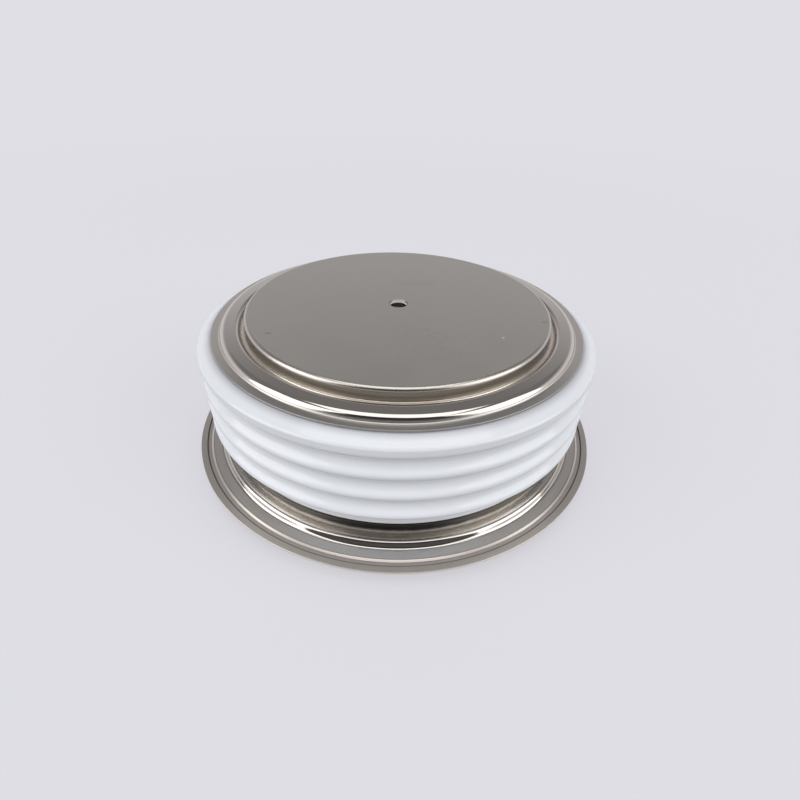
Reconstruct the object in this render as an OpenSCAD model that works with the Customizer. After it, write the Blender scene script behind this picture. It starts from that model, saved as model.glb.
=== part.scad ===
// Disc thyristor: a capsule that is clamped between two heat sinks.
// A ribbed ceramic ring insulates two copper contact poles, with the silicon stack pressed between them.
// Z is the axis of the capsule and z = 0 is the anode contact face. All sizes are in millimetres.

/* [Capsule] */
// Thickness over the two contact faces
capsule_h = 26; // [25:0.5:34]
// Diameter of each contact face
contact_d = 51; // [40:0.1:60]
// Rounding of the contact face's edge
contact_edge = 0.6; // [0.1:0.05:0.8]
// Height of the cathode contact face above the top of the ceramic
cathode_stand = 2.75; // [2:0.05:4]
// Depth of the anode contact face below the welded rim
anode_stand = 2.1; // [1.6:0.1:3]
// Diameter of the locating hole in each contact face
locating_d = 2.8; // [2:0.1:4]
// Depth of the locating hole up to its drill point
locating_depth = 2.2; // [1.5:0.1:2.5]
// Chamfer at the mouth of the locating hole
locating_chamfer = 0.25; // [0.1:0.05:0.4]

/* [Poles] */
// Step out from the contact to the collar that carries the flange
collar_step = 0.75; // [0.6:0.05:2]
// Height of the anode pole over its contact face
anode_pole_h = 10.6; // [10:0.1:12]
// Height of the anode pole's collar
anode_collar_h = 6.3; // [4:0.1:7]
// Height of the cathode pole's collar
cathode_collar_h = 4; // [3:0.1:5]
// Step in from the contact to the cathode pole's inner end
cathode_inset = 3; // [1.5:0.05:4]
// Rounding of the poles' collars and inner ends
collar_edge = 0.35; // [0.1:0.05:0.5]

/* [Flanges] */
// Thickness of the flange sheet
sheet = 0.35; // [0.25:0.05:0.5]
// Distance from the contact to the top of the bead's inner wall
bead_inset = 0.9; // [0.8:0.05:2]
// Width of the bead over the tops of its walls
bead_w = 2.8; // [2:0.1:3]
// Step out from the top of a bead's wall to its foot
bead_lean = 0.35; // [0.1:0.05:0.5]
// Height of the bead over the sheet
bead_h = 0.9; // [0.6:0.05:1.1]
// Rounding of the bead's crown
bead_crown = 0.95; // [0.3:0.05:1.1]
// Fillet at the foot of a bead
bead_foot = 0.3; // [0.1:0.05:0.4]
// Height of the braze fillet between the flange and the pole
braze_h = 0.45; // [0.1:0.05:0.8]
// Width of the sheet that lies on the ceramic's upper end, from the bore outward
land_w = 2.85; // [2.2:0.05:3.2]
// Height of the skirt over the welded rim
skirt_h = 3.6; // [2.5:0.1:4.5]
// Width of the groove between the skirt and the coined bead
trough_w = 0.5; // [0.4:0.05:0.8]
// Width of the coined bead
coin_w = 1.1; // [0.9:0.05:1.5]
// Height of the coined bead over the rim
coin_h = 0.95; // [0.5:0.05:1.2]
// Rounding of the coined bead's outer edge
coin_crown = 0.6; // [0.3:0.05:1]
// Step out from the top of the coined bead's outer side to its foot
coin_lean = 0.5; // [0.1:0.05:0.6]
// Fillet at the foot of the coined bead's outer side
coin_foot = 0.5; // [0.1:0.05:0.6]
// Width of the rim between the coined bead and the weld mark
rim_flat_w = 1.75; // [1:0.05:3]
// Fall of the rim from the coined bead to the weld mark
rim_fall = 0.12; // [0.02:0.02:0.2]
// Width of the weld mark pressed into the rim
weld_w = 1.05; // [0.6:0.05:1.5]
// Width of the sloping inner side of the weld mark
weld_bevel = 0.35; // [0.1:0.05:0.5]
// Depth of the weld mark in each sheet
weld_depth = 0.16; // [0.06:0.02:0.2]
// Width of the lip outside the weld mark
lip_w = 1.1; // [0.6:0.1:2]
// Step in from the rim to the edge of the anode flange under it
under_step = 0.5; // [0.1:0.1:0.5]
// Rounding of the sheets' outer edges
sheet_edge = 0.06; // [0.02:0.02:0.12]

/* [Ceramic ring] */
// Gap between the poles' collars and the ceramic bore
bore_gap = 1.75; // [1.5:0.05:3]
// Wall of the plain neck at the lower end
neck_wall = 3; // [2.5:0.1:3.5]
// Height of the plain neck
neck_h = 3.3; // [2:0.05:3.6]
// Fillet between the neck and the lowest rib
neck_fillet = 0.4; // [0.2:0.1:0.6]
// Wall at the crest of a rib
rib_wall = 5.15; // [4.6:0.05:6]
// Depth of the hollows between the ribs
rib_depth = 0.95; // [0.4:0.05:1.2]
// Number of ribs
rib_count = 4; // [3:1:5]
// Radius of the lowest rib's underside
under_r = 0.5; // [0.3:0.1:1.6]
// Radius of the ribs' crests
crest_r = 0.9; // [0.3:0.05:1.2]
// Radius of the hollows between the ribs
hollow_r = 1.4; // [0.8:0.05:1.8]
// Height of the top rib over its crest
shoulder_h = 1.8; // [1.4:0.05:2.4]
// Fall of the top face from the flange's edge to the top rib
shoulder_drop = 0.75; // [0.3:0.05:0.9]
// Radius of the top rib's upper edge
shoulder_r = 0.5; // [0.2:0.05:0.6]
// Step from the cathode flange's edge to the start of the shoulder
shoulder_step = 0.3; // [0.1:0.05:0.5]
// Rounding of the ceramic's bore and neck edges
ceramic_edge = 0.2; // [0.1:0.05:0.4]

/* [Silicon stack] */
// Thickness of each silver foil
foil_h = 0.1; // [0.05:0.05:0.2]
// Thickness of the anode's molybdenum disc
anode_disc_h = 2.2; // [1.5:0.1:3]
// Thickness of the silicon wafer
wafer_h = 0.6; // [0.4:0.05:1]
// Step in from the anode disc's edge to the wafer's edge
wafer_inset = 0.8; // [0.5:0.1:1.2]
// Thickness of the cathode's molybdenum disc
cathode_disc_h = 1; // [0.8:0.1:1.5]
// Radius of the gate hole in the cathode disc and foil
gate_hole_r = 1.6; // [1.3:0.1:2]
// Width of the edge seal's overlap on the wafer
seal_overlap = 0.8; // [0.4:0.1:1.2]
// Height of the edge seal over the wafer
seal_h = 0.5; // [0.3:0.1:0.7]
// Wall of the centring ring
ring_wall = 2.1; // [1:0.1:2.2]
// Height of the centring ring over the wafer
ring_over = 0.6; // [0.2:0.1:0.9]

/* [Gate] */
// Radius of the gate bore in the cathode pole
gate_bore_r = 3; // [2.8:0.1:4]
// Depth of the gate bore
gate_bore_depth = 6.4; // [6:0.1:6.8]
// Wall of the insulating cup
cup_wall = 1; // [0.7:0.1:1.2]
// Closed end of the insulating cup
cup_end = 0.8; // [0.5:0.1:1.2]
// Height of the wire's axis over the stack
wire_rise = 1.95; // [1.7:0.05:2.2]
// Radius of the gate wire
wire_r = 0.4; // [0.2:0.05:0.5]
// Wall of the wire's sleeve
sleeve_wall = 0.4; // [0.2:0.05:0.5]
// Height of the gate contact's head
head_h = 1; // [0.8:0.1:1.4]
// Radius of the gate contact's stem
stem_r = 0.8; // [0.5:0.05:1]
// Radius of the spring's wire
spring_wire_r = 0.2; // [0.1:0.05:0.25]
// Number of turns of the spring
spring_turns = 4; // [3:1:5]
// Wall of the gate tube
tube_wall = 0.4; // [0.3:0.05:0.6]
// Length of the gate tube outside its collar
tube_out = 1.2; // [0.8:0.1:1.6]
// Radius of the gate tube's collar
tube_collar_r = 2.2; // [1.9:0.1:2.6]
// Thickness of the gate tube's collar
tube_collar_h = 0.6; // [0.4:0.1:0.8]
// Depth of the flat for the collar below the ceramic's hollows
spot_depth = 0.3; // [0.1:0.1:0.6]
// Radius of the gate terminal pin
pin_r = 0.6; // [0.4:0.05:0.8]
// Length of the gate terminal pin
pin_len = 1.8; // [1:0.1:2]

/* [Fits] */
// Radial clearance of a brazed or sliding fit
fit = 0.05; // [0.02:0.01:0.1]
// Radial clearance of a loose insulating piece
loose = 0.15; // [0.1:0.05:0.25]

/* [Hidden] */
$fn = 128;

// Share of a side that its two roundings may take
side_share = 0.98;
// Overlaps that join a rounding to its corner and to the two sides
corner_overlap = 0.05;
arc_overlap = 0.0003;
// Points along one turn of the spring, and round its wire
spring_turn_steps = 12;
spring_sides = 6;
// Length that cuts reach past the faces they open
past = 1;
// Angle of a drill point from its axis
drill_half_angle = 59;

// Radii of the turned and formed pieces
contact_r = contact_d / 2;
collar_r = contact_r + collar_step;
cathode_inner_r = contact_r - cathode_inset;
bead_in_r = contact_r + bead_inset;
bead_out_r = bead_in_r + bead_w;
bore_r = collar_r + bore_gap;
land_r = bore_r + land_w;
neck_r = bore_r + neck_wall;
rib_r = bore_r + rib_wall;
trough_r = neck_r + trough_w;
coin_r = trough_r + coin_w;
weld_in_r = coin_r + rim_flat_w;
weld_out_r = weld_in_r + weld_w;
rim_r = weld_out_r + lip_w;

// Heights of the housing, from the anode contact face up
weld_z = anode_stand + sheet;
rim_z = weld_z + sheet;
ceramic_z = rim_z + skirt_h;
ceramic_top_z = capsule_h - cathode_stand;
under_round = min(under_r, rib_r - neck_r - neck_fillet);
low_crest_z = ceramic_z + neck_h + under_round;
top_crest_z = ceramic_top_z - shoulder_h;
rib_pitch = (top_crest_z - low_crest_z) / (rib_count - 1);

// Ribs as arcs that meet along straight flanks. The arcs are as large as the pitch and depth allow.
rib_half = rib_pitch / 2;
rib_arcs = min(crest_r + hollow_r, side_share * (pow(rib_half, 2) + pow(rib_depth, 2)) / (2 * rib_depth));
crest_arc = rib_arcs * crest_r / (crest_r + hollow_r);
hollow_arc = rib_arcs - crest_arc;
rib_rise = rib_arcs - rib_depth;
rib_lean = asin(rib_arcs / norm([rib_half, rib_rise])) - atan2(rib_rise, rib_half);
corner_share = 1 / cos(rib_lean) - 1;
crest_bend = crest_arc * tan(rib_lean / 2);

// Heights of the stack, from the anode pole up
ledge_z = weld_z + anode_collar_h;
anode_disc_z = anode_pole_h + foil_h;
wafer_z = anode_disc_z + anode_disc_h;
cathode_disc_z = wafer_z + wafer_h;
cathode_foil_z = cathode_disc_z + cathode_disc_h;
stack_z = cathode_foil_z + foil_h;
wafer_r = contact_r - wafer_inset;

// Places of the gate lead
wire_z = stack_z + wire_rise;
gate_bore_z = stack_z + gate_bore_depth;
cup_r = gate_bore_r - fit;
cup_in_r = cup_r - cup_wall;
cup_in_z = gate_bore_z - cup_end;
head_r = cup_in_r - loose;
head_top_z = wire_z + head_h / 2;
sleeve_in_r = wire_r + fit;
sleeve_r = sleeve_in_r + sleeve_wall;
slot_r = sleeve_r + loose;
tube_in_r = wire_r + loose;
tube_r = tube_in_r + tube_wall;
spot_y = rib_r - rib_depth - spot_depth;
spot_r = tube_collar_r + loose;
tube_inner_y = bore_r - fit;
tube_outer_y = spot_y + tube_collar_h + tube_out;

// Direction of a vector, with a length of one
function unit(v) = v / norm(v);

// The sliver between a sharp corner and its rounding, with its sides given as vectors from the corner
module round_off(at, before, after, reach, half) {
  a = unit(before);
  b = unit(after);
  difference() {
    polygon([at - unit(a + b) * corner_overlap, at + a * reach, at + b * reach]);
    translate(at + unit(a + b) * reach / cos(half))
      circle(r = reach * tan(half) + arc_overlap);
  }
}

// A section through corners given counter-clockwise as [radius from the axis, height, rounding].
// Where the roundings at the two ends of a side need more than its length, they share it.
module section(corners) {
  n = len(corners);
  points = [for (c = corners) [c.x, c.y]];
  before = [for (i = [0 : n - 1]) points[(i + n - 1) % n] - points[i]];
  after = [for (i = [0 : n - 1]) points[(i + 1) % n] - points[i]];
  half = [for (i = [0 : n - 1]) acos(unit(before[i]) * unit(after[i])) / 2];
  want = [for (i = [0 : n - 1]) corners[i].z / tan(half[i])];
  rounded = [for (i = [0 : n - 1]) if (want[i] > 0) i];
  reach = [for (i = [0 : n - 1]) want[i] == 0 ? 0 : want[i] * min(1,
    side_share * norm(before[i]) / (want[i] + want[(i + n - 1) % n]),
    side_share * norm(after[i]) / (want[i] + want[(i + 1) % n]))];
  difference() {
    union() {
      polygon(points);
      for (i = rounded)
        if (cross(after[i], before[i]) < 0)
          round_off(points[i], before[i], after[i], reach[i], half[i]);
    }
    for (i = rounded)
      if (cross(after[i], before[i]) > 0)
        round_off(points[i], before[i], after[i], reach[i], half[i]);
  }
}

module turned(corners) {
  rotate_extrude()
    section(corners);
}

// A ring with plain square edges
module ring(r_out, r_in, z, h) {
  rotate_extrude()
    translate([r_in, z])
      square([r_out - r_in, h]);
}

// A round bar along the gate lead, between two distances from the axis
module lead_bar(r, from_y, to_y) {
  translate([0, from_y, wire_z])
    rotate([-90, 0, 0])
      cylinder(r = r, h = to_y - from_y);
}

// The locating hole with its chamfered mouth at z = 0, going down
module locating_hole() {
  r = locating_d / 2;
  rotate_extrude()
    polygon([
      [0, past],
      [r + locating_chamfer + past, past],
      [r, -locating_chamfer],
      [r, -locating_depth],
      [0, -locating_depth - r / tan(drill_half_angle)]]);
}

// Section of the flange sheet with its bead and its braze fillet, lying on z = 0 with the bead upward
function beaded_sheet(out_r) = [
  [contact_r + fit, 0, 0],
  [bead_in_r + sheet - bead_lean, 0, bead_foot],
  [bead_in_r + sheet, bead_h, 0],
  [bead_out_r - sheet, bead_h, 0],
  [bead_out_r - sheet + bead_lean, 0, bead_foot],
  [out_r, 0, sheet_edge],
  [out_r, sheet, sheet_edge],
  [bead_out_r + bead_lean, sheet, bead_foot],
  [bead_out_r, sheet + bead_h, bead_crown],
  [bead_in_r, sheet + bead_h, bead_crown],
  [bead_in_r - bead_lean, sheet, bead_foot],
  [contact_r + 2 * fit, sheet, braze_h],
  [contact_r + 2 * fit, sheet + braze_h, 0],
  [contact_r + fit, sheet + braze_h, 0]];

module cathode_pole() {
  color("silver")
    difference() {
      turned([
        [0, stack_z, 0],
        [cathode_inner_r, stack_z, collar_edge],
        [cathode_inner_r, ceramic_top_z - cathode_collar_h, 0],
        [collar_r, ceramic_top_z - cathode_collar_h, collar_edge],
        [collar_r, ceramic_top_z, 0],
        [contact_r, ceramic_top_z, 0],
        [contact_r, capsule_h, contact_edge],
        [0, capsule_h, 0]]);
      translate([0, 0, capsule_h])
        locating_hole();
      translate([0, 0, stack_z - past])
        cylinder(r = gate_bore_r, h = gate_bore_depth + past);
      lead_bar(slot_r, 0, collar_r + past);
      translate([-slot_r, 0, stack_z - past])
        cube([2 * slot_r, collar_r + past, wire_rise + past]);
    }
}

module cathode_flange() {
  color("lightgray")
    translate([0, 0, ceramic_top_z])
      turned(beaded_sheet(land_r));
}

// Corners of the ceramic wall from one rib's crest to the next, before they are rounded
function rib_hollow(i) = [
  if (i > 0) [rib_r + crest_arc * corner_share, low_crest_z + i * rib_pitch, crest_arc],
  [rib_r - rib_depth - hollow_arc * corner_share, low_crest_z + (i + 0.5) * rib_pitch, hollow_arc]];

module ceramic_ring() {
  color("white")
    difference() {
      turned(concat(
        [[bore_r, ceramic_top_z, ceramic_edge],
         [bore_r, ceramic_z, ceramic_edge],
         [neck_r, ceramic_z, ceramic_edge],
         [neck_r, ceramic_z + neck_h, neck_fillet],
         [rib_r, ceramic_z + neck_h, under_round],
         [rib_r, low_crest_z + crest_bend, crest_arc]],
        [for (i = [0 : rib_count - 2]) each rib_hollow(i)],
        [[rib_r, top_crest_z - crest_bend, crest_arc],
         [rib_r, ceramic_top_z - shoulder_drop, shoulder_r],
         [land_r + shoulder_step, ceramic_top_z, shoulder_r]]));
      lead_bar(tube_r + fit, 0, rib_r + past);
      lead_bar(spot_r, spot_y, rib_r + past);
    }
}

module weld_flange() {
  color("lightgray")
    turned([
      [bore_r + shoulder_step, ceramic_z - sheet, 0],
      [neck_r - sheet, ceramic_z - sheet, 0],
      [neck_r - sheet, weld_z, bead_foot],
      [rim_r, weld_z, 0],
      [rim_r, rim_z, sheet_edge],
      [weld_out_r, rim_z, sheet_edge],
      [weld_out_r, rim_z - weld_depth, 0],
      [weld_in_r + weld_bevel, rim_z - weld_depth, sheet_edge],
      [weld_in_r, rim_z, sheet_edge],
      [coin_r, rim_z + rim_fall, coin_foot],
      [coin_r - coin_lean, rim_z + coin_h, coin_crown],
      [trough_r, rim_z + coin_h, bead_foot],
      [trough_r, rim_z, 0],
      [neck_r, rim_z, 0],
      [neck_r, ceramic_z, bead_foot],
      [bore_r + shoulder_step, ceramic_z, 0]]);
}

module anode_flange() {
  color("lightgray")
    difference() {
      translate([0, 0, weld_z])
        mirror([0, 0, 1])
          turned(beaded_sheet(rim_r - under_step));
      ring(weld_out_r, weld_in_r, anode_stand - past, past + weld_depth);
    }
}

module anode_pole() {
  color("silver")
    difference() {
      turned([
        [0, 0, 0],
        [contact_r, 0, contact_edge],
        [contact_r, weld_z, 0],
        [collar_r, weld_z, 0],
        [collar_r, ledge_z, collar_edge],
        [contact_r, ledge_z, 0],
        [contact_r, anode_pole_h, collar_edge],
        [0, anode_pole_h, 0]]);
      mirror([0, 0, 1])
        locating_hole();
    }
}

module anode_foil() {
  color("gainsboro")
    translate([0, 0, anode_pole_h])
      cylinder(r = contact_r, h = foil_h);
}

module anode_disc() {
  color("dimgray")
    translate([0, 0, anode_disc_z])
      cylinder(r = contact_r, h = anode_disc_h);
}

module silicon_wafer() {
  color("slategray")
    translate([0, 0, wafer_z])
      cylinder(r = wafer_r, h = wafer_h);
}

module edge_seal() {
  color("ivory") {
    ring(contact_r, wafer_r, wafer_z, wafer_h);
    ring(contact_r, wafer_r - seal_overlap, cathode_disc_z, seal_h);
  }
}

module cathode_disc() {
  color("dimgray")
    ring(cathode_inner_r, gate_hole_r, cathode_disc_z, cathode_disc_h);
}

module cathode_foil() {
  color("gainsboro")
    ring(cathode_inner_r, gate_hole_r, cathode_foil_z, foil_h);
}

module centring_ring() {
  color("seashell")
    ring(contact_r + loose + ring_wall, contact_r + loose, ledge_z, cathode_disc_z + ring_over - ledge_z);
}

module gate_cup() {
  color("seashell")
    difference() {
      ring(cup_r, 0, stack_z, gate_bore_depth);
      translate([0, 0, stack_z - past])
        cylinder(r = cup_in_r, h = cup_in_z - stack_z + past);
      lead_bar(slot_r, 0, cup_r + past);
      translate([-slot_r, 0, stack_z - past])
        cube([2 * slot_r, cup_r + past, wire_rise + past]);
    }
}

// Coil of round wire with plain ends, from the contact's head up to the closed end of the cup
module gate_spring() {
  coil_r = head_r - spring_wire_r - fit;
  low_z = head_top_z + spring_wire_r;
  steps = spring_turns * spring_turn_steps;
  rise = (cup_in_z - spring_wire_r - low_z) / steps;
  points = [
    for (i = [0 : steps])
      let (turn = 360 * i / spring_turn_steps)
      for (k = [0 : spring_sides - 1])
        let (a = 90 + 360 * k / spring_sides, r = coil_r + spring_wire_r * cos(a))
        [r * cos(turn), r * sin(turn), low_z + rise * i + spring_wire_r * sin(a)]];
  sides = [
    for (i = [0 : steps - 1])
      for (k = [0 : spring_sides - 1])
        let (next = (k + 1) % spring_sides, below = i * spring_sides, above = below + spring_sides)
        [below + k, above + k, above + next, below + next]];
  low_end = [for (k = [0 : spring_sides - 1]) k];
  top_end = [for (k = [spring_sides - 1 : -1 : 0]) steps * spring_sides + k];
  color("lightsteelblue")
    polyhedron(points, concat([low_end], sides, [top_end]));
}

module gate_contact() {
  color("gold")
    turned([
      [0, cathode_disc_z, 0],
      [stem_r, cathode_disc_z, 0],
      [stem_r, head_top_z - head_h, 0],
      [head_r, head_top_z - head_h, 0],
      [head_r, head_top_z, 0],
      [0, head_top_z, 0]]);
}

module gate_wire() {
  color("lightsteelblue")
    lead_bar(wire_r, head_r, tube_outer_y);
}

module wire_sleeve() {
  color("seashell")
    difference() {
      lead_bar(sleeve_r, cup_r + loose, tube_inner_y - loose);
      lead_bar(sleeve_in_r, 0, bore_r);
    }
}

module gate_tube() {
  color("lightgray")
    difference() {
      union() {
        lead_bar(tube_r, tube_inner_y, tube_outer_y);
        lead_bar(tube_collar_r, spot_y, spot_y + tube_collar_h);
      }
      lead_bar(tube_in_r, 0, rib_r + tube_out);
    }
}

module gate_terminal() {
  color("lightgray") {
    lead_bar(tube_r, tube_outer_y, tube_outer_y + tube_collar_h);
    lead_bar(pin_r, tube_outer_y, tube_outer_y + tube_collar_h + pin_len);
  }
}

cathode_pole();
cathode_flange();
ceramic_ring();
weld_flange();
anode_flange();
anode_pole();
anode_foil();
anode_disc();
silicon_wafer();
edge_seal();
cathode_disc();
cathode_foil();
centring_ring();
gate_cup();
gate_spring();
gate_contact();
gate_wire();
wire_sleeve();
gate_tube();
gate_terminal();
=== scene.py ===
import math

import bmesh
import bpy
from mathutils import Matrix, Vector


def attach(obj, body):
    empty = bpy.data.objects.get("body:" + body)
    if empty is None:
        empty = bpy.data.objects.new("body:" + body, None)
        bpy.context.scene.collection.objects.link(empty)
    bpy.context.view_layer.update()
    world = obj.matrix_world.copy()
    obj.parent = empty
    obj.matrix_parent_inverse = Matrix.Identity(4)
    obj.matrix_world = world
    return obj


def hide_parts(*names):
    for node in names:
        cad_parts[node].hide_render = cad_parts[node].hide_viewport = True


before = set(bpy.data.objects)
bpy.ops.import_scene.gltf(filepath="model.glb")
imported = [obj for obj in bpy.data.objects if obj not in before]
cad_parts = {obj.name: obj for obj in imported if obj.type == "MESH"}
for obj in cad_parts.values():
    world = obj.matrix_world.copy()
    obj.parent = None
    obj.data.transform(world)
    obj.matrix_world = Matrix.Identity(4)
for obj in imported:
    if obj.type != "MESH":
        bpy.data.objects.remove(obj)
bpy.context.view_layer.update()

# Anode pole: the lower contact, a block of copper turned to a flat face and a collar and plated
# with satin nickel. It carries the stack and is brazed into the anode flange.


class Wire:
    """A shader socket. Arithmetic on it adds Math nodes."""

    def __init__(self, owner, socket):
        self.owner = owner
        self.socket = socket

    def maths(self, operation, *values):
        return self.owner.node("Math", {"operation": operation}, dict(enumerate(values)))

    def __add__(self, other):
        return self.maths("ADD", self, other)

    def __radd__(self, other):
        return self.maths("ADD", other, self)

    def __sub__(self, other):
        return self.maths("SUBTRACT", self, other)

    def __rsub__(self, other):
        return self.maths("SUBTRACT", other, self)

    def __mul__(self, other):
        return self.maths("MULTIPLY", self, other)

    def __rmul__(self, other):
        return self.maths("MULTIPLY", other, self)

    def rising(self, low, high):
        """0 below low, 1 above high, and smooth between them."""
        sockets = {"Value": self, "From Min": low, "From Max": high}
        return self.owner.node("MapRange", {"interpolation_type": "SMOOTHSTEP"}, sockets)

    def band(self, low, high, soft):
        """1 from low to high, and soft at both edges."""
        return self.rising(low - soft, low + soft) * (1 - self.rising(high - soft, high + soft))


class Nodes:
    """A tree of shader nodes."""

    def __init__(self, tree):
        self.tree = tree

    def node(self, kind, settings, sockets, output=0):
        made = self.tree.nodes.new("ShaderNode" + kind)
        for name, value in settings.items():
            setattr(made, name, value)
        for key, value in sockets.items():
            if isinstance(value, Wire):
                self.tree.links.new(value.socket, made.inputs[key])
            else:
                made.inputs[key].default_value = value
        return Wire(self, made.outputs[output])

    def mixed(self, share, a, b):
        return self.node("Mix", {"data_type": "RGBA"}, {0: share, 6: a, 7: b}, 2)


class Finish(Nodes):
    """A material of nodes round one Principled shader. Its lengths are in millimetres."""

    def __init__(self, name, **fixed):
        self.material = bpy.data.materials.new(name)
        self.material.use_nodes = True
        super().__init__(self.material.node_tree)
        self.shader = self.tree.nodes["Principled BSDF"]
        self.set(**fixed)
        metres = self.node("TexCoord", {}, {}, "Object")
        self.place = self.node("VectorMath", {"operation": "SCALE"}, {0: metres, "Scale": 1000})
        self.x = self.node("SeparateXYZ", {}, {0: self.place}, "X")
        self.y = self.node("SeparateXYZ", {}, {0: self.place}, "Y")
        self.z = self.node("SeparateXYZ", {}, {0: self.place}, "Z")
        self.radius = self.x.maths("SQRT", self.x * self.x + self.y * self.y)

    def set(self, **sockets):
        for name, value in sockets.items():
            socket = self.shader.inputs[name.replace("_", " ")]
            if isinstance(value, Wire):
                self.tree.links.new(value.socket, socket)
            else:
                socket.default_value = value

    def noise(self, per_mm, detail=2.0, at=None):
        sockets = {"Vector": at or self.place, "Scale": per_mm, "Detail": detail}
        return self.node("TexNoise", {}, sockets)

    def turning(self, along):
        """Where a point is on a turned piece: across the tool's marks, and along them."""
        angle = self.x.maths("ARCTAN2", self.y, self.x)
        return self.node("CombineXYZ", {}, {0: self.radius, 1: angle * along, 2: self.z})

    def bumped(self, height, millimetres, strength):
        sockets = {"Strength": strength, "Distance": millimetres / 1000, "Height": height}
        return self.node("Bump", {}, sockets)

    def near(self, x, y, wide, high, soft):
        """1 in a round or long place about x and y, as seen from above."""
        across = (self.x - x) * (1 / wide)
        along = (self.y - y) * (1 / high)
        away = across.maths("SQRT", across * across + along * along)
        return 1 - away.rising(1 - soft, 1 + soft)

    def on(self, *names):
        for name in names:
            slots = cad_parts[name].data.materials
            slots.clear()
            slots.append(self.material)


def outline(corners):
    """The section through corners [radius, height, rounding] in millimetres, with the roundings drawn."""
    usable, arc_step, strip = 0.98, math.radians(8), 0.05
    count = len(corners)
    at = [Vector(corner[:2]) for corner in corners]
    before = [at[i - 1] - at[i] for i in range(count)]
    after = [at[(i + 1) % count] - at[i] for i in range(count)]
    half = [before[i].angle(after[i]) / 2 for i in range(count)]
    want = [corners[i][2] / math.tan(half[i]) for i in range(count)]
    bends = []
    for i in range(count):
        if want[i] == 0:
            bends.append([at[i]])
            continue
        reach = want[i] * min(1, usable * before[i].length / (want[i] + want[i - 1]),
                              usable * after[i].length / (want[i] + want[(i + 1) % count]))
        a, b = before[i].normalized(), after[i].normalized()
        centre = at[i] + (a + b).normalized() * (reach / math.cos(half[i]))
        start = at[i] + a * reach - centre
        sweep = math.copysign(math.pi - 2 * half[i], b.x * a.y - b.y * a.x)
        steps = max(2, round(abs(sweep) / arc_step))
        bends.append([centre + Matrix.Rotation(sweep * k / steps, 2) @ start for k in range(steps + 1)])
    # A narrow strip at both ends of each straight side keeps the rest of it flat when shaded smooth.
    section = []
    for i in range(count):
        following = bends[(i + 1) % count]
        side = following[0] - bends[i][-1]
        margin = side.normalized() * min(strip, side.length / 4)
        section += bends[i] + [bends[i][-1] + margin, following[0] - margin]
    return section


def turned(name, corners, sway=None):
    """A piece turned about the axis from its section. Sway gives its small departures from round."""
    slices, on_axis = 288, 1e-6
    shape = bmesh.new()
    rings = []
    for point in outline(corners):
        ring = []
        for j in range(slices if point.x > on_axis else 1):
            angle = 2 * math.pi * j / slices
            radius, height = sway(angle, *point) if sway else point
            spot = Vector((radius * math.cos(angle), radius * math.sin(angle), height))
            ring.append(shape.verts.new(spot / 1000))
        rings.append(ring)
    for k, ring in enumerate(rings):
        following = rings[(k + 1) % len(rings)]
        for j in range(slices):
            corner = [ring[j % len(ring)], ring[(j + 1) % len(ring)],
                      following[(j + 1) % len(following)], following[j % len(following)]]
            corner = list(dict.fromkeys(corner))
            if len(corner) > 2:
                shape.faces.new(corner)
    bmesh.ops.recalc_face_normals(shape, faces=shape.faces)
    mesh = bpy.data.meshes.new(name)
    shape.to_mesh(mesh)
    shape.free()
    piece = bpy.data.objects.new(name, mesh)
    bpy.context.collection.objects.link(piece)
    return piece


def stands_for(piece, node, finish):
    """Shades the piece smooth up to its sharp corners, and shows it in the place of the CAD node."""
    sharp = math.radians(24)
    piece.data.shade_smooth()
    piece.data.set_sharp_from_angle(angle=sharp)
    piece.data.materials.append(finish.material)
    finish.on(node)
    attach(piece, "root")
    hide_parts(node)


def satin_nickel(finish):
    """Gives a lapped and plated contact face its fine grain. Returns its colour and its roughness."""
    grain = finish.noise(9, 3)
    cloud = finish.noise(0.09, 3)
    lapped = finish.noise(6, 2, finish.turning(0.8))
    finish.set(Normal=finish.bumped(grain + 0.6 * lapped, 0.004, 0.5))
    colour = finish.mixed(0.5 * grain + 0.5 * cloud, (0.520, 0.490, 0.440, 1), (0.565, 0.532, 0.478, 1))
    return colour, 0.34 + 0.08 * cloud + 0.04 * lapped


contact_r, collar_r = 25.5, 26.25
contact_edge, collar_edge = 0.6, 0.35
hole_r, hole_bevel, hole_depth, drill_half_angle = 1.4, 0.25, 2.2, math.radians(59)
hole_tip = hole_depth + hole_r / math.tan(drill_half_angle)
weld_z, anode_collar_z, anode_top_z = 2.45, 8.75, 10.6
anode_pole = turned("anode_contact", [
    (0, hole_tip, 0), (hole_r, hole_depth, 0), (hole_r, hole_bevel, 0), (hole_r + hole_bevel, 0, 0),
    (contact_r, 0, contact_edge), (contact_r, weld_z, 0), (collar_r, weld_z, 0),
    (collar_r, anode_collar_z, collar_edge), (contact_r, anode_collar_z, 0),
    (contact_r, anode_top_z, collar_edge), (0, anode_top_z, 0)])
satin = Finish("satin_nickel_anode", Metallic=1.0)
satin_colour, satin_rough = satin_nickel(satin)
satin.set(Base_Color=satin_colour, Roughness=satin_rough)
stands_for(anode_pole, "anode_pole", satin)

# Anode flange: a thin ring of plated sheet, pressed to a bead that lets it give when the capsule is
# clamped. It is brazed to the anode pole, and its edge is cold-welded to the flange over it.
sheet, sheet_edge, fit = 0.35, 0.06, 0.05
bead_in_r, bead_out_r, bead_h = 26.4, 29.2, 1.25
bead_lean, bead_foot, bead_crown = 0.35, 0.3, 0.95
braze_h = 0.45


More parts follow.
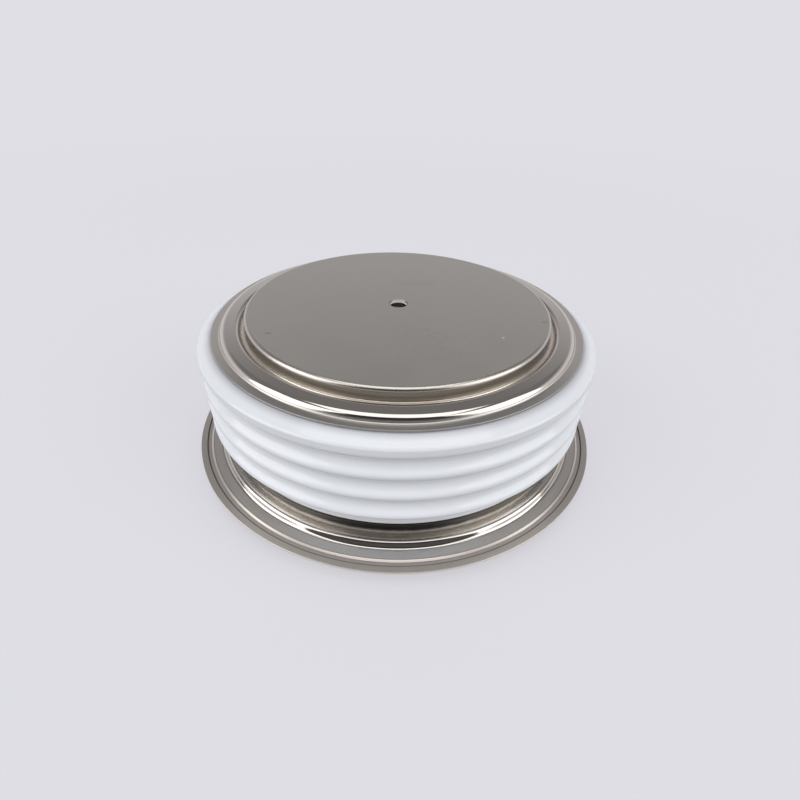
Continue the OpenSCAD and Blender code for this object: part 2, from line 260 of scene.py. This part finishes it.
def beaded_sheet(out_r, foot_z, up):
    """Corners of a flange that lies on foot_z, with its bead and braze fillet upwards or downwards."""
    hollow_h = bead_h - sheet
    in_r, braze_r = contact_r + fit, contact_r + 2 * fit
    upward = [
        (in_r, 0, 0), (bead_in_r, 0, bead_foot), (bead_in_r + bead_lean, hollow_h, 0),
        (bead_out_r - bead_lean, hollow_h, 0), (bead_out_r, 0, bead_foot), (out_r, 0, sheet_edge),
        (out_r, sheet, sheet_edge), (bead_out_r + bead_lean, sheet, bead_foot),
        (bead_out_r, bead_h, bead_crown), (bead_in_r, bead_h, bead_crown),
        (bead_in_r - bead_lean, sheet, bead_foot), (braze_r, sheet, braze_h),
        (braze_r, sheet + braze_h, 0), (in_r, sheet + braze_h, 0)]
    return [(radius, foot_z + up * height, rounding) for radius, height, rounding in upward]


def pressed_nickel(finish, tarnish):
    """The colour of pressed and plated sheet with this tarnish, and its streaks."""
    colour = finish.mixed(tarnish, (0.62, 0.579, 0.521, 1), (0.69, 0.645, 0.580, 1))
    return colour, finish.noise(5, 3, finish.turning(1.5))


rim_r, rim_set_back = 36.5, 0.5
anode_flange = turned("anode_sheet", beaded_sheet(rim_r - rim_set_back, weld_z, -1))
pressed = Finish("pressed_nickel_anode", Metallic=1.0)
plain, streaks = pressed_nickel(pressed, pressed.noise(0.06, 3))
beaded = pressed.radius.band(bead_in_r - 0.1, bead_out_r + 0.2, 0.2)
pressed.set(
    Base_Color=plain,
    Roughness=0.34 - 0.20 * beaded + 0.08 * streaks,
    Normal=pressed.bumped(streaks, 0.003, 0.4))
stands_for(anode_flange, "anode_flange", pressed)

# Stack: two silver foils, two molybdenum discs and the silicon wafer, all lapped flat. The wafer is alloyed
# to the lower disc, and pressure alone holds the rest. The wafer's edge is sealed with cast rubber, and a
# turned plastic ring keeps the stack central.


def mottled(name, metallic, blotches, dark, light, wear, rough, spread):
    """A finish that goes from dark to light in blotches, with some spread in its roughness."""
    finish = Finish(name, Metallic=metallic)
    finish.set(Base_Color=finish.mixed(finish.noise(blotches), dark, light),
               Roughness=rough + spread * finish.noise(wear))
    return finish


silver = mottled("soft_silver", 1.0, blotches=0.4, dark=(0.80, 0.79, 0.76, 1), light=(0.88, 0.88, 0.86, 1),
                 wear=0.9, rough=0.25, spread=0.15)
silver.on("anode_foil", "cathode_foil")
moly = mottled("lapped_molybdenum", 1.0, blotches=0.7, dark=(0.38, 0.39, 0.41, 1),
               light=(0.46, 0.47, 0.49, 1), wear=1.5, rough=0.35, spread=0.15)
moly.on("anode_disc", "cathode_disc")
silicon = mottled("lapped_silicon", 1.0, blotches=0.5, dark=(0.22, 0.23, 0.27, 1),
                  light=(0.28, 0.29, 0.33, 1), wear=1.5, rough=0.22, spread=0.1)
silicon.on("silicon_wafer")
rubber = mottled("cast_rubber", 0.0, blotches=0.4, dark=(0.80, 0.77, 0.70, 1), light=(0.88, 0.85, 0.79, 1),
                 wear=0.9, rough=0.45, spread=0.15)
rubber.on("edge_seal")
plastic = Finish("turned_plastic")
plastic.set(Base_Color=plastic.mixed(plastic.noise(0.3), (0.86, 0.86, 0.84, 1), (0.92, 0.92, 0.90, 1)),
            Roughness=0.35 + 0.15 * plastic.noise(4, 2, plastic.turning(1)))
plastic.on("centring_ring")

# Gate lead inside: a gold-plated contact pressed on the wafer by a small coil spring in a plastic cup,
# and a sleeved wire that runs from it through the cathode pole.
plastic.on("gate_cup", "wire_sleeve")
wire = mottled("drawn_wire", 1.0, blotches=0.9, dark=(0.53, 0.53, 0.53, 1), light=(0.62, 0.62, 0.62, 1),
               wear=2.5, rough=0.25, spread=0.15)
wire.on("gate_spring", "gate_wire")
gilt = mottled("gold_plate", 1.0, blotches=0.9, dark=(0.76, 0.60, 0.28, 1), light=(0.84, 0.69, 0.36, 1),
               wear=2.5, rough=0.22, spread=0.12)
gilt.on("gate_contact")

# Ceramic ring: pressed and fired alumina with a white glaze. Its ribs lengthen the path along the wall,
# and the flanges are brazed to its metallised ends. The gate tube sits in a stepped hole at the back.


def cut(piece, *tools):
    """Takes the tools' shapes out of the piece."""
    for tool in tools:
        change = piece.modifiers.new("cut", "BOOLEAN")
        change.object = tool
    bpy.context.view_layer.update()
    ready = piece.evaluated_get(bpy.context.evaluated_depsgraph_get())
    piece.data = bpy.data.meshes.new_from_object(ready)
    piece.modifiers.clear()
    for tool in tools:
        bpy.data.objects.remove(tool)


def lead_bar(radius, start, stop):
    """A round bar along the gate lead, to cut with."""
    bar = turned("bar", [(0, 0, 0), (radius, 0, 0), (radius, stop - start, 0), (0, stop - start, 0)])
    lying = Matrix.Rotation(-math.pi / 2, 4, "X")
    bar.matrix_world = Matrix.Translation((0, start / 1000, wire_z / 1000)) @ lying
    return bar


wire_z, lead_hole_r, tube_seat_r, tube_seat_y = 16.55, 1.0, 2.35, 31.9
inside_y, outside_y = 20, 40
bore_r, neck_r, rib_r, land_r = 28.0, 31.0, 33.15, 30.85
ceramic_z, rib_foot_z, rib_head_z, ceramic_top_z = 6.4, 9.7, 22.5, 23.25
ceramic_edge, neck_fillet, rib_edge, land_margin = 0.2, 0.4, 0.5, 0.3
crest_r, hollow_r, rib_depth = 0.9, 1.38, 0.95
hollows, pitch, low_crest_z = 3, 3.75, 10.2
top_crest_z = low_crest_z + hollows * pitch
rise = crest_r + hollow_r - rib_depth
lean = math.asin((crest_r + hollow_r) / math.hypot(pitch / 2, rise)) - math.atan2(rise, pitch / 2)
past = 1 / math.cos(lean) - 1
bend = crest_r * math.tan(lean / 2)
ceramic_wall = [
    (bore_r, ceramic_top_z, ceramic_edge), (bore_r, ceramic_z, ceramic_edge),
    (neck_r, ceramic_z, ceramic_edge), (neck_r, rib_foot_z, neck_fillet),
    (rib_r, rib_foot_z, rib_edge), (rib_r, low_crest_z + bend, crest_r)]
for hollow in range(hollows):
    crest_z = low_crest_z + hollow * pitch
    if hollow > 0:
        ceramic_wall.append((rib_r + crest_r * past, crest_z, crest_r))
    ceramic_wall.append((rib_r - rib_depth - hollow_r * past, crest_z + pitch / 2, hollow_r))
ceramic_wall += [
    (rib_r, top_crest_z - bend, crest_r), (rib_r, rib_head_z, rib_edge),
    (land_r + land_margin, ceramic_top_z, rib_edge)]
ceramic = turned("ceramic_wall", ceramic_wall)
cut(ceramic, lead_bar(lead_hole_r, inside_y, outside_y), lead_bar(tube_seat_r, tube_seat_y, outside_y))
glaze = Finish("white_glaze", IOR=1.5)
ripple = glaze.noise(0.35, 2)
pores = glaze.noise(2.2, 3)
white = glaze.mixed(ripple, (0.835, 0.845, 0.860, 1), (0.870, 0.876, 0.888, 1))
# Painted shade: the top end of the glaze is darkened a little all over, and most next to the flange's edge.
top_end = glaze.z.rising(rib_head_z - 0.2, rib_head_z + 0.1)
painted_top_shade = top_end * (0.62 * (1 - glaze.radius.rising(land_r - 0.25, land_r + 1.45)) + 0.26)
glaze.set(
    Base_Color=glaze.mixed(painted_top_shade, white, (0.33, 0.335, 0.35, 1)),
    Roughness=0.06 + 0.06 * pores,
    Normal=glaze.bumped(ripple + 0.15 * pores, 0.03, 0.35))
stands_for(ceramic, "ceramic_ring", glaze)

# Weld flange: plated sheet, brazed under the ceramic. A skirt runs down to a coined bead and a flat rim,
# and a die has pressed the rim on to the anode flange in a narrow ring, which leaves a warmer tint there.
rim_z = weld_z + sheet
seat_r, skirt_bend = 28.3, 0.3
trough_r, coin_r, weld_in_r, weld_out_r = 31.5, 32.6, 34.35, 35.4
coin_h, coin_lean, coin_foot, coin_crown, coin_inner = 0.95, 0.5, 0.5, 0.6, 0.3
rim_fall, weld_depth, weld_bevel = 0.12, 0.16, 0.35


def rim_sway(angle, radius, height):
    """The rim's sheet is a little wavy and not quite round, more so towards its edge."""
    out_of_round, waviness, underside = 0.10, 0.05, weld_z + 0.1
    share = max(0, (radius - coin_r) / (rim_r - coin_r))
    wave = (0.5 + 0.2 * math.sin(3 * angle + 0.6) + 0.17 * math.sin(7 * angle + 2.1)
            + 0.13 * math.sin(16 * angle))
    drop = waviness * wave * share if height > underside else 0
    return radius - out_of_round * wave * share * share, height - drop


weld_flange = turned("weld_sheet", [
    (seat_r, ceramic_z - sheet, 0), (neck_r - sheet, ceramic_z - sheet, 0),
    (neck_r - sheet, weld_z, skirt_bend), (rim_r, weld_z, 0), (rim_r, rim_z, sheet_edge),
    (weld_out_r, rim_z, sheet_edge), (weld_out_r, rim_z - weld_depth, 0),
    (weld_in_r + weld_bevel, rim_z - weld_depth, sheet_edge), (weld_in_r, rim_z, sheet_edge),
    (coin_r, rim_z + rim_fall, coin_foot), (coin_r - coin_lean, rim_z + coin_h, coin_crown),
    (trough_r, rim_z + coin_h, coin_inner), (trough_r, rim_z, 0), (neck_r, rim_z, 0),
    (neck_r, ceramic_z, skirt_bend), (seat_r, ceramic_z, 0)], rim_sway)
welded = Finish("welded_rim", Metallic=1.0)
tarnish = welded.noise(0.08, 3)
plain, streaks = pressed_nickel(welded, tarnish)
rim_front = welded.near(0, -36, 19, 9, 0.5)
coined = welded.radius.band(trough_r, coin_r + 0.25, 0.1)
flat = welded.radius.band(coin_r + 0.3, weld_in_r - 0.15, 0.1)
pressed_rim = welded.radius.rising(weld_in_r - 0.15, weld_in_r + 0.15)
# Thin dark lines along the two edges of the die's groove.
inner_groove_line = welded.radius.band(weld_in_r - 0.07, weld_in_r + 0.01, 0.05)
outer_groove_line = welded.radius.band(weld_out_r - 0.16, weld_out_r + 0.04, 0.08)
skirt = 1 - welded.radius.rising(neck_r + 0.1, neck_r + 0.3)
# Painted shade: the top of the skirt, under the ceramic's overhang, is made nearly black, with a ragged
# edge.
shade_under_ceramic = skirt * (welded.z + 0.4 * welded.noise(0.5, 2)).rising(4.7, 5.5)
# Painted reflection: the flat ring is lighter, most at the front, standing in for the white ceramic it
# mirrors. The skirt is made lighter as well.
flat_reflection = flat * (0.2 + 0.6 * rim_front)
# Painted shade: the bevel inside the die's groove is darker at the front.
front_bevel_shade = rim_front * welded.radius.band(weld_in_r + 0.05, weld_in_r + 0.45, 0.1)
warm = welded.mixed(pressed_rim * (0.6 + 0.5 * tarnish), plain, (0.74, 0.675, 0.605, 1))
bright = welded.mixed(flat_reflection + 0.9 * skirt, warm, (0.80, 0.79, 0.78, 1))
with_shade_under_ceramic = welded.mixed(0.95 * shade_under_ceramic, bright, (0.045, 0.037, 0.03, 1))
with_painted_shade = welded.mixed(0.8 * front_bevel_shade, with_shade_under_ceramic, (0.40, 0.345, 0.325, 1))
welded.set(
    Base_Color=welded.mixed(0.9 * (0.5 * inner_groove_line + outer_groove_line), with_painted_shade, (0.10, 0.08, 0.065, 1)),
    Roughness=0.24 - 0.16 * coined + 0.04 * pressed_rim + 0.06 * flat + 0.06 * streaks * (1 - skirt),
    Normal=welded.bumped(streaks * (1 - skirt), 0.003, 0.4))
stands_for(weld_flange, "weld_flange", welded)

# Gate lead outside: a plated tube brazed into the ceramic's wall, closed by the terminal pin.
tube = mottled("plated_tube", 1.0, blotches=1.2, dark=(0.60, 0.555, 0.50, 1), light=(0.66, 0.61, 0.55, 1),
               wear=4, rough=0.2, spread=0.15)
tube.on("gate_tube")
gilt.on("gate_terminal")

# Cathode pole: the upper contact, turned from copper and plated with satin nickel like the lower one.
# Handling has left faint smudges and a few nicks on its lapped face. Of the slot for the gate lead, only
# the round top is cut here, as the slot can't be seen from outside.
face_z, cathode_collar_z, stack_z = 26.0, 19.25, 14.6
stem_r, gate_bore_r, gate_bore_z, lead_end_y = 22.5, 3.0, 21.0, 30
cathode_pole = turned("cathode_contact", [
    (0, gate_bore_z, 0), (gate_bore_r, gate_bore_z, 0), (gate_bore_r, stack_z, 0),
    (stem_r, stack_z, collar_edge), (stem_r, cathode_collar_z, 0), (collar_r, cathode_collar_z, collar_edge),
    (collar_r, ceramic_top_z, 0), (contact_r, ceramic_top_z, 0), (contact_r, face_z, contact_edge),
    (hole_r + hole_bevel, face_z, 0), (hole_r, face_z - hole_bevel, 0), (hole_r, face_z - hole_depth, 0),
    (0, face_z - hole_tip, 0)])
cut(cathode_pole, lead_bar(lead_hole_r, 0, lead_end_y))
contact = Finish("satin_nickel_cathode")
satin_colour, satin_rough = satin_nickel(contact)
spots = contact.noise(0.9, 3).rising(0.52, 0.66)
smudge = contact.near(5.6, -13.2, 7.0, 5.2, 0.5) * spots + 0.6 * contact.near(3.2, 8.6, 3.4, 1.6, 0.6)
nicks = 0.45 * contact.near(-19.4, -11.9, 0.5, 0.22, 0.5) + 0.35 * contact.near(23.6, -5.4, 0.4, 0.3, 0.6)
speck = contact.near(16.1, -11.1, 0.22, 0.22, 0.5)
# Painted highlight: the top of the locating hole's wall is near white and not metallic. Painted shade: its
# bevel and the deeper wall are darkened, together with the real nicks on the face.
hole = 1 - contact.radius.rising(hole_r, hole_r + 0.02)
lit_hole_wall = hole * contact.z.rising(face_z - 0.6, face_z - 0.5)
mouth = contact.radius.band(hole_r + 0.02, hole_r + hole_bevel + 0.01, 0.03)
# Painted shade: the pole's side wall below the face is darker, most near its top.
flank = 1 - contact.z.rising(face_z - 0.6, face_z - 0.4)
wall_shade = flank * (0.35 + 0.65 * contact.z.rising(face_z - 2.1, face_z - 1.3))
edge = contact.radius.rising(contact_r - contact_edge, contact_r - 0.5) * (1 - flank)
smudged = contact.mixed(0.5 * smudge, satin_colour, (0.47, 0.448, 0.40, 1))
with_painted_shade = contact.mixed(0.72 * wall_shade, smudged, (0.19, 0.168, 0.145, 1))
nicks_and_shade = contact.mixed(nicks + 0.7 * mouth + 0.8 * (hole - lit_hole_wall), with_painted_shade, (0.20, 0.185, 0.165, 1))
contact.set(
    Base_Color=contact.mixed(0.8 * speck + 0.9 * lit_hole_wall, nicks_and_shade, (0.94, 0.92, 0.89, 1)),
    Metallic=1 - 0.85 * lit_hole_wall,
    Roughness=satin_rough + 0.05 * smudge - 0.14 * edge)
stands_for(cathode_pole, "cathode_pole", contact)

# Cathode flange: pressed like the anode flange, with its bead upwards, and brazed to the cathode pole
# and to the top of the ceramic. The die has burnished the bead, and the flat land stays satin.
cathode_flange = turned("cathode_sheet", beaded_sheet(land_r, ceramic_top_z, 1))
burnished = Finish("pressed_nickel_cathode", Metallic=1.0)
plain, streaks = pressed_nickel(burnished, burnished.noise(0.06, 3))
beaded = burnished.radius.band(bead_in_r - 0.1, bead_out_r + 0.2, 0.2)
braze = 1 - burnished.radius.rising(bead_in_r - bead_lean, bead_in_r - 0.2)
# Painted shade: the flat land outside the bead is darker at the front.
land_front = burnished.radius.rising(bead_out_r + 0.2, bead_out_r + 0.5) * (1 - burnished.y.rising(-28, -12))
with_land_shade = burnished.mixed(0.85 * land_front, plain, (0.40, 0.385, 0.365, 1))
burnished.set(
    Base_Color=burnished.mixed(0.9 * braze, with_land_shade, (0.92, 0.86, 0.79, 1)),
    Roughness=0.33 - 0.27 * beaded - 0.1 * braze + 0.04 * streaks,
    Normal=burnished.bumped(streaks, 0.003, 0.4))
stands_for(cathode_flange, "cathode_flange", burnished)

# Studio: a pale paper floor that runs into a pale surround, a soft box overhead and one on each side, and a
# camera above the front. The surround lights pale surfaces from the front, the back and the sides.


def seen_by(nodes, *kinds):
    """1 for a ray of one of these kinds."""
    rays = [nodes.node("LightPath", {}, {}, f"Is {kind} Ray") for kind in kinds]
    seen = rays[0]
    for ray in rays[1:]:
        seen = seen.maths("MAXIMUM", seen, ray)
    return seen


pale, black = (0.745, 0.738, 0.783, 1), (0, 0, 0, 1)
floor_half = 30.0
floor_mesh = bpy.data.meshes.new("floor")
floor_mesh.from_pydata(
    [(-floor_half, -floor_half, 0), (floor_half, -floor_half, 0), (floor_half, floor_half, 0),
     (-floor_half, floor_half, 0)], [], [(0, 1, 2, 3)])
floor = bpy.data.objects.new("floor", floor_mesh)
bpy.context.collection.objects.link(floor)
paper = Finish("pale_paper", Roughness=1.0, Specular_IOR_Level=0.0, Emission_Strength=1.0)
far = paper.radius.rising(120, 420)
glow = paper.mixed(far, (0.478, 0.474, 0.500, 1), pale)
paper.set(Base_Color=paper.mixed(far, (0.24, 0.238, 0.252, 1), black),
          Emission_Color=paper.mixed(seen_by(paper, "Camera", "Glossy", "Transmission"), black, glow))
floor_mesh.materials.append(paper.material)


def soft_box(name, azimuth, elevation, away, wide, high, radiance):
    lamp = bpy.data.lights.new(name, "AREA")
    lamp.shape = "RECTANGLE"
    lamp.size = wide
    lamp.size_y = high
    lamp.color = (0.985, 0.99, 1.005)
    lamp.energy = radiance * math.pi * wide * high
    box = bpy.data.objects.new(name, lamp)
    turn, lift = math.radians(azimuth), math.radians(elevation)
    out = Vector((math.sin(turn) * math.cos(lift), -math.cos(turn) * math.cos(lift), math.sin(lift)))
    box.location = out * away
    box.rotation_euler = (-out).to_track_quat("-Z", "Y").to_euler()
    box.visible_camera = False
    bpy.context.collection.objects.link(box)


soft_box("over_box", azimuth=0, elevation=86, away=1.3, wide=1.2, high=1.3, radiance=1.5)
soft_box("left_box", azimuth=-68, elevation=29, away=1.3, wide=1.12, high=1.25, radiance=1.95)
soft_box("right_box", azimuth=68, elevation=29, away=1.3, wide=1.12, high=1.25, radiance=1.75)

world = bpy.data.worlds.new("studio")
world.use_nodes = True
bpy.context.scene.world = world
sky = Nodes(world.node_tree)
direction = sky.node("TexCoord", {}, {}, "Generated")
across = sky.node("SeparateXYZ", {}, {0: direction}, "X")
depth = sky.node("SeparateXYZ", {}, {0: direction}, "Y")
height = sky.node("SeparateXYZ", {}, {0: direction}, "Z")
front = 1 - depth.rising(-0.75, -0.3)
rear = depth.rising(0.3, 0.75)
side = (across * across).rising(0.2, 0.8)
raised = height.rising(0.05, 0.6)
fill = 0.10 + front * (0.34 + 0.62 * raised) + rear * (0.40 + 0.60 * raised) + 0.5 * side
dim = (1 - 0.72 * height.rising(0.25, 0.6)) * (1 - 0.88 * front)
lit = sky.node("Mix", {"data_type": "FLOAT"}, {0: seen_by(sky, "Glossy"), 2: fill, 3: dim})
backdrop = seen_by(sky, "Camera", "Transmission")
strength = sky.node("Mix", {"data_type": "FLOAT"}, {0: backdrop, 2: lit, 3: 1.0})
mirrored = seen_by(sky, "Camera", "Transmission", "Glossy")
colour = sky.mixed(mirrored, (0.71, 0.735, 0.79, 1), pale)
background = sky.tree.nodes["Background"]
sky.tree.links.new(colour.socket, background.inputs["Color"])
sky.tree.links.new(strength.socket, background.inputs["Strength"])

camera = bpy.data.cameras.new("camera")
camera.sensor_width = 36
camera.lens = 21.6
camera.clip_start = 0.001
viewer = bpy.data.objects.new("camera", camera)
eye = Vector((0.000768, -0.075552, 0.061076))
target = Vector((0.000768, 0, 0.005569))
aim = (target - eye).to_track_quat("-Z", "Y").to_matrix().to_4x4()
roll = Matrix.Rotation(math.radians(1.775), 4, "Z")
viewer.matrix_world = Matrix.Translation(eye) @ aim @ roll
bpy.context.collection.objects.link(viewer)
bpy.context.scene.camera = viewer
bpy.context.scene.view_settings.view_transform = "Standard"
